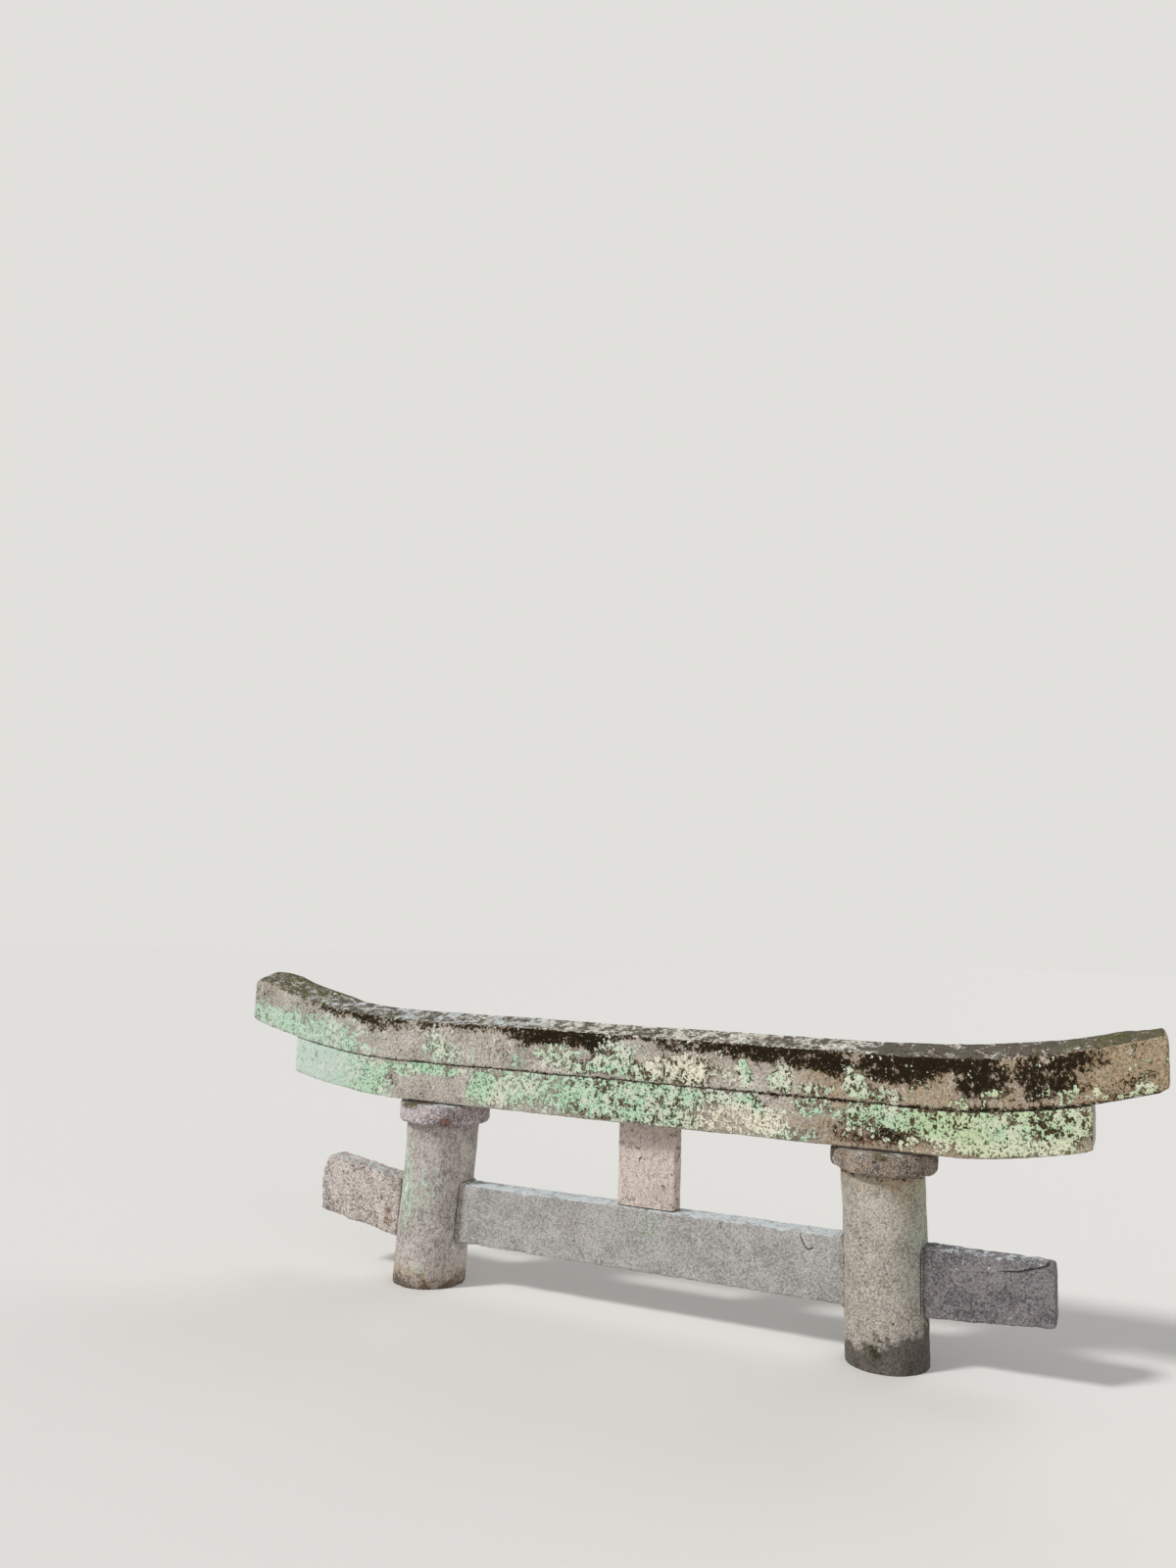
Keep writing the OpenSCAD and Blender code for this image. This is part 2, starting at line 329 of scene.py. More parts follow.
def crooked_top(points):
    """The top lintel as it stands: low joint at the right, high ridge at the left, worn tips."""
    x, y, z = points.T.copy()
    share = (z - joint_height(x)) / (roof_height(x, y) - joint_height(x))
    near_top = ramp(share, 0.6, 0.95)
    ridge = np.clip(1 - np.abs(y) / TOP_HALF_T, 0, 1)
    z -= 0.006 * sag(x) * np.clip(1 - share, 0, 1)
    z += 0.012 * near_top * ramp(y, -0.05, 0.03) * ramp(-x, 1.36, 1.56) * ramp(x, -1.86, -1.76)
    z += 0.007 * near_top * ridge * ramp(x, 0.9, 1.1) * (1 - ramp(x, 1.4, 1.6))
    z -= 0.020 * near_top * ridge * ramp(x, 1.70, 1.85)
    z += 0.009 * near_top * np.sin(math.pi * ridge) * ramp(-x, 1.68, 1.80)
    points = np.stack([x, y, z], axis=1)
    tip = roof_height(TOP_REACH, y) - np.where(x > 0, 0.020 * ridge, 0)
    foot = joint_height(TOP_REACH)
    points = round_corner(points, -TOP_REACH, tip, 1, 0.032)
    points = round_corner(points, TOP_REACH, tip, 1, 0.036)
    points = round_corner(points, TOP_REACH, foot, -1, 0.018)
    return round_corner(points, -TOP_REACH, foot, -1, 0.016)


def crooked_lower(points):
    """The lower lintel as it stands, a little low and long towards its right end."""
    x, y, z = points.T.copy()
    depth = np.clip((joint_height(x) - z) / LOWER_H, 0, 1)
    z -= 0.006 * sag(x) * (1 - depth) + 0.009 * depth * ramp(x, 1.08, 1.27)
    x += 0.006 * ramp(x, 1.35, 1.6)
    return np.stack([x, y, z], axis=1)


def crooked_pillar(points):
    """A pillar with a slightly uneven round and a flare under the capital."""
    x, y, z = points.T.copy()
    side = np.sign(x)
    foot_out = np.where(side < 0, LEFT_FOOT_OUT, RIGHT_FOOT_OUT)
    axis = side * (PILLAR_X + foot_out * (PILLAR_H - z) / PILLAR_H)
    around = np.arctan2(y, x - axis)
    swell = np.where(side < 0, 0.016, 0.0) + 0.010 * np.sin(2 * around + 5 * z)
    swell += 0.045 * ramp(z, 0.52, 0.65) * ramp(-np.cos(around), -0.3, 0.9)
    swell *= ramp(np.hypot(x - axis, y), 0.08, 0.12)
    return np.stack([axis + (x - axis) * (1 + swell), y * (1 + swell), z], axis=1)


def crisp_rim(points):
    """The left capital with its rounded rims pushed out towards a square edge."""
    x, y, z = points.T.copy()
    x += PILLAR_X
    reach = np.hypot(x, y)
    lift = z - CAPITAL_MIDDLE_Z
    out = np.clip(reach - CAPITAL_R + CAPITAL_ROUND, 0, None)
    rise = np.clip(np.abs(lift) - CAPITAL_HALF_H + CAPITAL_ROUND, 0, None)
    length = np.maximum(np.hypot(out, rise), 1e-9)
    square = np.maximum((out / length) ** 4 + (rise / length) ** 4, 0.5) ** -0.25
    grown = 1 + out * (square - 1) / np.maximum(reach, 1e-9)
    return np.stack([x * grown - PILLAR_X, y * grown, z + np.sign(lift) * rise * (square - 1)], axis=1)


def crooked_left_end(points):
    """The tie beam's broken left end, bulging outward between its rounded corners."""
    height = np.clip((points[:, 2] - LEFT_END_FOOT[1]) / LEFT_END_H, 0, 1)
    points[:, 0] -= 0.011 * np.sin(math.pi * height) * ramp(-points[:, 0], 1.42, 1.49)
    points = round_corner(points, *LEFT_END_TOP, 1, 0.042)
    return round_corner(points, *LEFT_END_FOOT, -1, 0.014)


def crooked_right_end(points):
    """The tie beam's right end, with worn corners."""
    points = round_corner(points, TIE_REACH, TIE_TOP, 1, 0.020)
    return round_corner(points, TIE_REACH, TIE_BOTTOM + RIGHT_END_RISE, -1, 0.012)


def thin_mortar(points):
    """Mortar drawn in towards the tie beam, as a thin fillet."""
    x, y, z = points.T.copy()
    pillar = np.sign(x) * PILLAR_X
    out = np.abs(x - pillar)
    out = np.where(out > MORTAR_ROOT, MORTAR_ROOT + 0.3 * (out - MORTAR_ROOT), out)
    x = pillar + np.sign(x - pillar) * out
    beyond = np.clip(np.abs(y) - TIE_HALF_T, 0, None)
    y = np.sign(y) * (np.minimum(np.abs(y), TIE_HALF_T) + 0.2 * beyond)
    z += 0.8 * np.clip(TIE_BOTTOM - z, 0, None) - 0.6 * np.clip(z - TIE_TOP, 0, None)
    return np.stack([x, y, z], axis=1)


def paint(piece, **layers):
    """Stores each layer's values on the points, for the material to read."""
    for layer, values in layers.items():
        attribute = piece.data.attributes.new(layer, "FLOAT", "POINT")
        attribute.data.foreach_set("value", np.clip(values, -2, 2).astype(np.float32))


def dress(piece, node, material):
    """Puts a piece in the place of its CAD node, with its material."""
    piece.data.materials.append(material)
    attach(piece, "root")
    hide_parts(node)


def srgb(red, green, blue):
    """A colour written as screen values from 0 to 255, as the linear colour that Blender wants."""
    def linear(value):
        share = value / 255
        return share / 12.92 if share <= 0.04045 else ((share + 0.055) / 1.055) ** 2.4
    return (linear(red), linear(green), linear(blue), 1.0)


class Shade:
    """Short calls for building one material from nodes."""

    def __init__(self, name):
        self.material = bpy.data.materials.new(name)
        self.material.use_nodes = True
        self.tree = self.material.node_tree
        self.tree.nodes.clear()
        self.out = self.tree.nodes.new("ShaderNodeOutputMaterial")
        self.surface = self.tree.nodes.new("ShaderNodeBsdfPrincipled")
        self.link(self.surface.outputs["BSDF"], self.out.inputs["Surface"])
        self.place = self.tree.nodes.new("ShaderNodeTexCoord").outputs["Object"]

    def link(self, source, target):
        self.tree.links.new(source, target)

    def feed(self, value, socket):
        if isinstance(value, bpy.types.NodeSocket):
            self.link(value, socket)
        else:
            socket.default_value = value

    def math(self, kind, *values):
        node = self.tree.nodes.new("ShaderNodeMath")
        node.operation = kind
        for value, socket in zip(values, node.inputs):
            self.feed(value, socket)
        return node.outputs[0]

    def plus(self, first, second, share=1.0, middle=0.5):
        """The first value, and a share of how far the second is from its middle."""
        spread = self.math("MULTIPLY", self.math("SUBTRACT", second, middle), share)
        return self.math("ADD", first, spread)

    def layer(self, name):
        node = self.tree.nodes.new("ShaderNodeAttribute")
        node.attribute_name = name
        return node.outputs["Fac"]

    def stretched(self, scale):
        node = self.tree.nodes.new("ShaderNodeMapping")
        node.inputs["Scale"].default_value = scale
        self.link(self.place, node.inputs["Vector"])
        return node.outputs[0]

    def noise(self, scale, detail=4, roughness=0.6, place=None, output="Fac"):
        node = self.tree.nodes.new("ShaderNodeTexNoise")
        self.link(place or self.place, node.inputs["Vector"])
        node.inputs["Scale"].default_value = scale
        node.inputs["Detail"].default_value = detail
        node.inputs["Roughness"].default_value = roughness
        return node.outputs[output]

    def cells(self, scale, place=None):
        """Distance to the nearest of scattered points, and the random value of that point."""
        node = self.tree.nodes.new("ShaderNodeTexVoronoi")
        self.link(place or self.place, node.inputs["Vector"])
        node.inputs["Scale"].default_value = scale
        parts = self.tree.nodes.new("ShaderNodeSeparateColor")
        self.link(node.outputs["Color"], parts.inputs[0])
        return node.outputs["Distance"], parts.outputs[0]

    def wobbled(self, scale, reach):
        """The place moved about by a noise, to make round shapes ragged."""
        shift = self.tree.nodes.new("ShaderNodeVectorMath")
        shift.operation = "MULTIPLY_ADD"
        self.link(self.noise(scale, 3, output="Color"), shift.inputs[0])
        shift.inputs[1].default_value = (reach, reach, reach)
        self.link(self.place, shift.inputs[2])
        return shift.outputs[0]

    def band(self, value, low, high, top=1.0):
        """Smooth step of a value, from 0 at low to top at high."""
        node = self.tree.nodes.new("ShaderNodeMapRange")
        node.interpolation_type = "SMOOTHSTEP"
        self.link(value, node.inputs["Value"])
        node.inputs["From Min"].default_value = low
        node.inputs["From Max"].default_value = high
        node.inputs["To Max"].default_value = top
        return node.outputs[0]

    def mix(self, amount, first, second, kind="MIX"):
        node = self.tree.nodes.new("ShaderNodeMix")
        node.data_type = "RGBA"
        node.blend_type = kind
        self.feed(amount, node.inputs[0])
        self.feed(first, node.inputs[6])
        self.feed(second, node.inputs[7])
        return node.outputs[2]


# Colours of what lies and grows on the stones
WARM = srgb(198, 174, 140)
RUST = srgb(122, 84, 68)
MINT = srgb(190, 228, 194)
PALE = srgb(226, 231, 213)
MILKY = srgb(212, 226, 216)
LIME = srgb(206, 219, 160)
CREAM = srgb(252, 241, 219)
FILM = srgb(184, 204, 184)
OLIVE_FILM = srgb(178, 182, 134)
# Earth brown of stain halos and warm places, also used as painted shade
GROUND = srgb(124, 104, 76)
# Dark browns of stains, also used for painted shade under the capitals, on the strut and along the lintels'
# joint
STAIN = srgb(60, 46, 24)
STAIN_DEEP = srgb(24, 16, 6)
MOSS = srgb(112, 110, 66)
MOSS_DEEP = srgb(54, 50, 30)
# Dark of damp stone, also used as painted shadow at the right pillar's foot
DAMP = srgb(84, 78, 76)
# Pale chalk colour, also used as painted light on top faces and lit facets
CHALK = srgb(208, 217, 219)
# Dark soot colour, also used as painted leaf shadow and painted shade on the top lintel's slopes
SOOT = srgb(74, 73, 63)
SPECK = srgb(98, 84, 74)
LICHEN_SHADE = srgb(118, 118, 84)
CRACK = srgb(44, 38, 34)

# Light and dark tone of each bare stone, by the name of its material
STONES = {
    "lichened_lintel_stone": (srgb(236, 227, 217), srgb(152, 142, 133)),
    "left_pillar_stone": (srgb(218, 208, 202), srgb(144, 134, 129)),
    "left_capital_stone": (srgb(228, 217, 218), srgb(114, 99, 100)),
    "right_pillar_stone": (srgb(214, 207, 196), srgb(136, 129, 119)),
    "right_capital_stone": (srgb(184, 170, 158), srgb(62, 52, 46)),
    "tie_beam_stone": (srgb(197, 193, 189), srgb(140, 137, 135)),
    "tie_beam_stone_pale": (srgb(238, 227, 219), srgb(124, 114, 108)),
    # The tie beam's right end: a darker copy of the tie beam's stone, painted shade
    "tie_beam_stone_dark": (srgb(154, 149, 150), srgb(90, 85, 87)),
    "strut_stone": (srgb(234, 219, 210), srgb(190, 175, 166)),
    "mortar": (srgb(206, 198, 188), srgb(118, 110, 102)),
}
DARK_MORTAR = (84, 72, 60)
PALE_MORTAR = (126, 116, 102)
FLOOR = srgb(222, 220, 216)
BACKDROP = srgb(225, 224, 220)


class Grain:
    """The noises that one stone's colours and relief share, from fine to broad."""

    def __init__(self, s):
        self.shade = s
        self.fine = s.noise(145, 3, 0.70)
        self.middle = s.noise(75, 5, 0.72)
        self.coarse = s.noise(30, 5, 0.68)
        self.broad = s.noise(9, 3, 0.5)
        self.streak = s.noise(70, 5, 0.72, place=s.stretched((1.0, 1.0, 0.42)))
        self.cloud = s.noise(24, 7, 0.76, place=s.stretched((1.0, 0.7, 1.0)))

    def spread(self, value, fine, middle, coarse, streak=0.0):
        """A value made uneven by shares of the noises."""
        noises = (self.fine, self.middle, self.coarse, self.streak)
        for noise, share in zip(noises, (fine, middle, coarse, streak)):
            if share:
                value = self.shade.plus(value, noise, share)
        return value


def hairlines(s, grain, strength):
    """Short curled dark lines, along the middle value of a noise and broken by another."""
    curl = s.noise(34, 4, 0.62, place=s.stretched((1.4, 1.4, 0.6)))
    line = s.band(s.math("ABSOLUTE", s.plus(0.0, curl)), 0.034, 0.010)
    return s.math("MULTIPLY", line, s.band(grain.coarse, 0.44, 0.52, strength))


def bare_stone(s, grain, light, dark, veins, pitted, streaks):
    """Bare dressed stone: grain, dark pits, warm, rusty and filmed places, pale places of chalk and painted
    light, dark places of soot and painted shade.
    """
    tone = grain.spread(s.plus(0.5, grain.broad, 0.9), 2.7, 1.0, 0.8, streaks)
    colour = s.mix(s.band(tone, 0.0, 1.0), dark, light)
    distance, chance = s.cells(40, s.wobbled(110, 0.012))
    pit = s.band(distance, 0.30, 0.12)
    speck = s.math("MULTIPLY", pit, s.band(chance, 0.98 - pitted, 1.08 - pitted, 0.7))
    colour = s.mix(speck, colour, SPECK)
    if veins:
        colour = s.mix(hairlines(s, grain, veins), colour, SPECK)
    warm = s.band(grain.spread(s.layer("warm"), 0.9, 1.4, 1.5), 0.15, 0.80, 0.85)
    earthy = s.mix(s.band(grain.spread(0.5, 1.8, 1.4, 0.8), 0.10, 0.72), GROUND, WARM)
    colour = s.mix(warm, colour, earthy)
    rusty = s.band(grain.spread(s.layer("rust"), 0.8, 1.6, 1.4), 0.36, 0.56, 0.85)
    colour = s.mix(rusty, colour, s.mix(s.band(grain.middle, 0.48, 0.84), RUST, WARM))
    film = s.band(grain.spread(s.layer("film"), 1.4, 2.6, 1.4, 2.6), 0.12, 0.62, 0.8)
    colour = s.mix(film, colour, s.mix(s.layer("lime"), FILM, OLIVE_FILM))
    # Pale places: chalky crust, and painted light on top faces, lit facets and sun patches
    chalky = s.plus(grain.spread(s.layer("chalk"), 1.4, 1.6, 0), grain.cloud, 5.0)
    chalky = s.band(chalky, 0.30, 0.60, 0.9)
    colour = s.mix(chalky, colour, s.mix(s.layer("cream"), CHALK, CREAM))
    # Dark places: soot, and painted leaf shadow and shade on the top lintel's slopes
    sooty = s.plus(grain.spread(s.layer("soot"), 1.0, 2.0, 0), grain.cloud, -5.0)
    colour = s.mix(s.band(sooty, 0.34, 0.50, 0.88), colour, SOOT)
    return colour, speck


def with_dirt(s, grain, colour):
    """Stains, painted shade and moss over a colour, where the layers ask for them."""
    # The stain layer also carries painted shade: under the capitals, on the strut's top and side, and along
    # the lintels' joint
    stained = grain.spread(s.layer("stain"), 1.4, 3.0, 3.0, 2.0)
    colour = s.mix(s.band(stained, 0.18, 0.42, 0.8), colour, GROUND)
    # Dark colour of stains and of painted shade
    dirt = s.mix(s.band(s.plus(stained, grain.fine, -2.4), 0.40, 0.90), STAIN, STAIN_DEEP)
    colour = s.mix(s.band(stained, 0.42, 0.47, 0.96), colour, dirt)
    mossy = grain.spread(s.layer("moss"), 1.0, 2.0, 1.8)
    moss = s.mix(s.band(grain.spread(0.5, 1.0, 1.0, 0), 0.38, 0.62), MOSS_DEEP, MOSS)
    return s.mix(s.band(mossy, 0.30, 0.56, 0.9), colour, moss)


def with_lichen(s, grain, colour):
    """Crust lichen over a colour: lobes that run together, with dark gaps and pin holes."""
    distance, chance = s.cells(88, s.wobbled(140, 0.017))
    grown = s.plus(s.plus(s.layer("lichen"), distance, -0.60, 0.34), chance, 0.16)
    grown = s.plus(grain.spread(grown, 0.9, 1.4, 3.7, 2.3), grain.broad, 1.0)
    dense = s.math("MULTIPLY", s.band(s.layer("lichen"), 0.34, 0.50), s.layer("grime"))
    clustered = s.band(grain.spread(0.5, -0.6, 0, -1.2, -1.6), 0.46, 0.54)
    gap = s.math("MULTIPLY", s.math("MULTIPLY", s.band(grown, -0.30, 0.0), clustered), dense)
    colour = s.mix(gap, colour, s.mix(s.band(grain.fine, 0.40, 0.66), STAIN, GROUND))
    patchy = s.plus(grain.spread(0.5, 0.5, 0.8, 2.2), grain.broad, 1.6)
    tint = s.mix(s.band(patchy, 0.44, 0.84), MINT, PALE)
    tint = s.mix(s.layer("lime"), tint, LIME)
    tint = s.mix(s.layer("cream"), tint, CREAM)
    tint = s.mix(s.band(grown, 0.56, 0.44, 0.2), tint, PALE)
    tint = s.mix(s.band(grain.spread(0.5, 2.2, 2.4, 0.8), 0.44, 0.20, 0.85), tint, LICHEN_SHADE)
    hole = s.band(grain.spread(0.5, 2.8, 2.8, 0), 0.20, 0.12, 0.85)
    tint = s.mix(s.layer("milky"), s.mix(hole, tint, STAIN), MILKY)
    lichen = s.band(grown, 0.42, 0.46)
    return s.mix(lichen, colour, tint), lichen


def stone_material(name, veins=0.0, pitted=0.15, streaks=0.5, rough=1.0):
    """Weathered andesite, with all that grows on it."""
    s = Shade(name)
    grain = Grain(s)
    light, dark = STONES[name]
    colour, speck = bare_stone(s, grain, light, dark, veins, pitted, streaks)
    colour = with_dirt(s, grain, colour)
    colour, lichen = with_lichen(s, grain, colour)
    crack = s.math("ABSOLUTE", s.plus(s.layer("crack"), grain.coarse, 0.9))
    line = s.math("MULTIPLY", s.band(crack, 0.34, 0.12), s.layer("cracked"))
    colour = s.mix(s.math("MULTIPLY", line, 0.85), colour, CRACK)
    # Darker, glossier foot: damp, and on the right pillar partly painted shadow
    damp = s.band(grain.spread(s.layer("damp"), 0.8, 1.6, 1.8), 0.25, 0.55, 0.92)
    colour = s.mix(damp, colour, s.mix(0.85, colour, DAMP, "MULTIPLY"))
    s.link(colour, s.surface.inputs["Base Color"])
    s.link(s.math("SUBTRACT", 0.94, s.math("MULTIPLY", damp, 0.3)), s.surface.inputs["Roughness"])
    s.surface.inputs["Specular IOR Level"].default_value = 0.12
    height = grain.spread(0.0, 0.9, 1.1, 1.0)
    height = s.math("ADD", height, s.math("MULTIPLY", lichen, 0.22))
    height = s.math("SUBTRACT", height, s.math("MULTIPLY", speck, 0.35))
    height = s.math("SUBTRACT", height, s.math("MULTIPLY", line, 0.6))
    bump = s.tree.nodes.new("ShaderNodeBump")
    bump.inputs["Strength"].default_value = 1.0
    bump.inputs["Distance"].default_value = 0.006 * rough
    s.link(height, bump.inputs["Height"])
    s.link(bump.outputs["Normal"], s.surface.inputs["Normal"])
    return s.material


# Growth on the lintels' faces: along the beam, above the joint, half width, half height, weight
LOWER_LICHEN = [
    (-1.45, -0.08, 0.27, 0.14, 0.98), (-1.20, -0.11, 0.08, 0.07, 0.62), (-1.05, -0.030, 0.17, 0.030, 0.66),
    (-0.88, -0.022, 0.12, 0.026, 0.64), (-0.70, -0.07, 0.06, 0.08, 0.58), (-0.55, -0.05, 0.14, 0.07, 0.52),
    (-0.60, -0.12, 0.12, 0.05, 0.40), (-0.35, -0.07, 0.16, 0.10, 0.52), (-0.12, -0.07, 0.18, 0.11, 0.50),
    (0.10, -0.04, 0.14, 0.06, 0.50), (0.12, -0.13, 0.16, 0.04, 0.42), (0.26, -0.03, 0.10, 0.04, 0.48),
    (0.44, -0.03, 0.09, 0.035, 0.70), (0.50, -0.10, 0.06, 0.05, 0.36), (0.62, -0.135, 0.13, 0.035, 0.44),
    (0.70, -0.03, 0.09, 0.040, 0.48), (0.90, -0.045, 0.11, 0.055, 0.54), (1.06, -0.05, 0.10, 0.060, 0.54),
    (1.22, -0.06, 0.12, 0.080, 0.50), (1.30, -0.11, 0.14, 0.045, 0.40), (1.48, -0.07, 0.20, 0.120, 0.50),
]
LOWER_CREAM = [
    (-0.62, -0.13, 0.12, 0.03, 0.25), (0.38, -0.11, 0.20, 0.060, 0.95), (0.60, -0.10, 0.12, 0.060, 0.20),
    (1.10, -0.13, 0.16, 0.035, 0.60), (1.45, -0.13, 0.16, 0.040, 0.50),
]
LOWER_DIRT = [
    (-1.15, -0.09, 0.06, 0.05, 0.36), (-0.39, -0.03, 0.03, 0.03, 0.60), (0.20, -0.14, 0.20, 0.04, 0.25),
    (0.86, -0.10, 0.13, 0.045, 0.36), (0.99, -0.08, 0.07, 0.060, 0.56), (1.30, -0.09, 0.06, 0.055, 0.48),
    (1.40, -0.07, 0.30, 0.100, 0.42), (1.53, -0.07, 0.08, 0.070, 0.48), (1.10, -0.08, 0.10, 0.050, 0.36),
    (-0.05, -0.08, 0.36, 0.080, 0.32),
]
TOP_LICHEN = [
    (-1.78, 0.030, 0.16, 0.070, 0.78), (-1.60, 0.045, 0.14, 0.075, 0.66), (-1.42, 0.060, 0.14, 0.085, 0.56),
    (-1.28, 0.020, 0.10, 0.030, 0.42), (-0.93, 0.085, 0.06, 0.070, 0.36), (-0.82, 0.040, 0.12, 0.060, 0.32),
    (-0.52, 0.035, 0.04, 0.035, 0.62), (-0.35, 0.085, 0.12, 0.055, 0.36), (-0.22, 0.030, 0.12, 0.030, 0.34),
    (-0.10, 0.085, 0.09, 0.080, 0.52), (0.04, 0.040, 0.10, 0.050, 0.36), (0.20, 0.050, 0.12, 0.050, 0.30),
    (0.44, 0.075, 0.032, 0.060, 0.74), (0.59, 0.060, 0.032, 0.045, 0.74), (0.70, 0.030, 0.06, 0.030, 0.30),
    (0.86, 0.070, 0.05, 0.065, 0.48), (0.95, 0.030, 0.07, 0.030, 0.44), (1.22, 0.030, 0.04, 0.030, 0.42),
    (1.31, 0.050, 0.03, 0.030, 0.52), (1.50, 0.060, 0.04, 0.030, 0.42), (1.57, 0.035, 0.02, 0.030, 0.56),
    (1.73, 0.006, 0.07, 0.016, 0.46), (1.80, 0.018, 0.035, 0.022, 0.56),
]
TOP_CREAM = [
    (-0.85, 0.070, 0.10, 0.080, 0.12), (-0.30, 0.060, 0.16, 0.070, 0.25), (0.22, 0.075, 0.20, 0.090, 0.78),
    (0.72, 0.060, 0.20, 0.060, 0.40), (1.05, 0.050, 0.14, 0.050, 0.30), (1.70, 0.040, 0.14, 0.060, 0.30),
]
TOP_DIRT = [
    (-1.38, 0.166, 0.16, 0.028, 0.38), (-1.21, 0.150, 0.08, 0.030, 0.40), (-1.07, 0.155, 0.05, 0.030, 0.36),
    (-0.94, 0.155, 0.05, 0.035, 0.36), (-0.70, 0.165, 0.20, 0.016, 0.30), (-0.46, 0.150, 0.10, 0.038, 0.56),
    (-0.28, 0.150, 0.16, 0.040, 0.68), (-0.15, 0.125, 0.08, 0.050, 0.60), (0.00, 0.165, 0.12, 0.015, 0.36),
    (0.20, 0.150, 0.11, 0.034, 0.58), (0.42, 0.152, 0.14, 0.040, 0.64), (0.66, 0.145, 0.16, 0.048, 0.70),
    (0.78, 0.115, 0.06, 0.050, 0.56), (0.98, 0.130, 0.14, 0.065, 0.74), (1.14, 0.150, 0.10, 0.035, 0.60),
    (1.27, 0.105, 0.10, 0.085, 0.78), (1.48, 0.095, 0.09, 0.080, 0.72), (1.62, 0.145, 0.09, 0.034, 0.50),
    (1.58, 0.060, 0.05, 0.040, 0.38), (1.76, 0.040, 0.12, 0.040, 0.30),
]
# Half height of the dark line along the joint between the lintels: a dark joint, with painted shadow under
# the top lintel's overhang towards the right
FRINGE = 0.009

# Dents in the stones: middle x, y and z, radius along x, y and z, and depth
JOINT_NOTCH = (LINTEL_JOINT_X, -0.14, 0.964, 0.006, 0.03, 0.028, 0.012)
LEFT_PILLAR_GOUGES = [
    (-0.878, -0.145, 0.465, 0.010, 0.05, 0.055, 0.0045),
    (-0.790, -0.11, 0.55, 0.014, 0.06, 0.06, 0.005),
    (-0.84, -0.14, 0.52, 0.008, 0.05, 0.035, 0.003),
    (-1.0, -0.12, 0.30, 0.012, 0.06, 0.03, 0.003),
]
RIGHT_CAPITAL_CHIPS = [
    (0.77, -0.10, 0.665, 0.05, 0.06, 0.022, 0.010),
    (0.93, -0.19, 0.745, 0.03, 0.03, 0.012, 0.006),
]
STRUT_CHIP = (0.137, -0.035, 0.428, 0.018, 0.02, 0.014, 0.010)

# Cracks on the tie beam's front, as bent lines: along the beam and up
MIDDLE_CRACK = [(0.635, 0.402), (0.648, 0.372), (0.662, 0.357), (0.680, 0.362)]
RIGHT_END_CRACK = [(1.30, 0.372), (1.388, 0.383), (1.460, 0.407), (1.52, 0.43)]


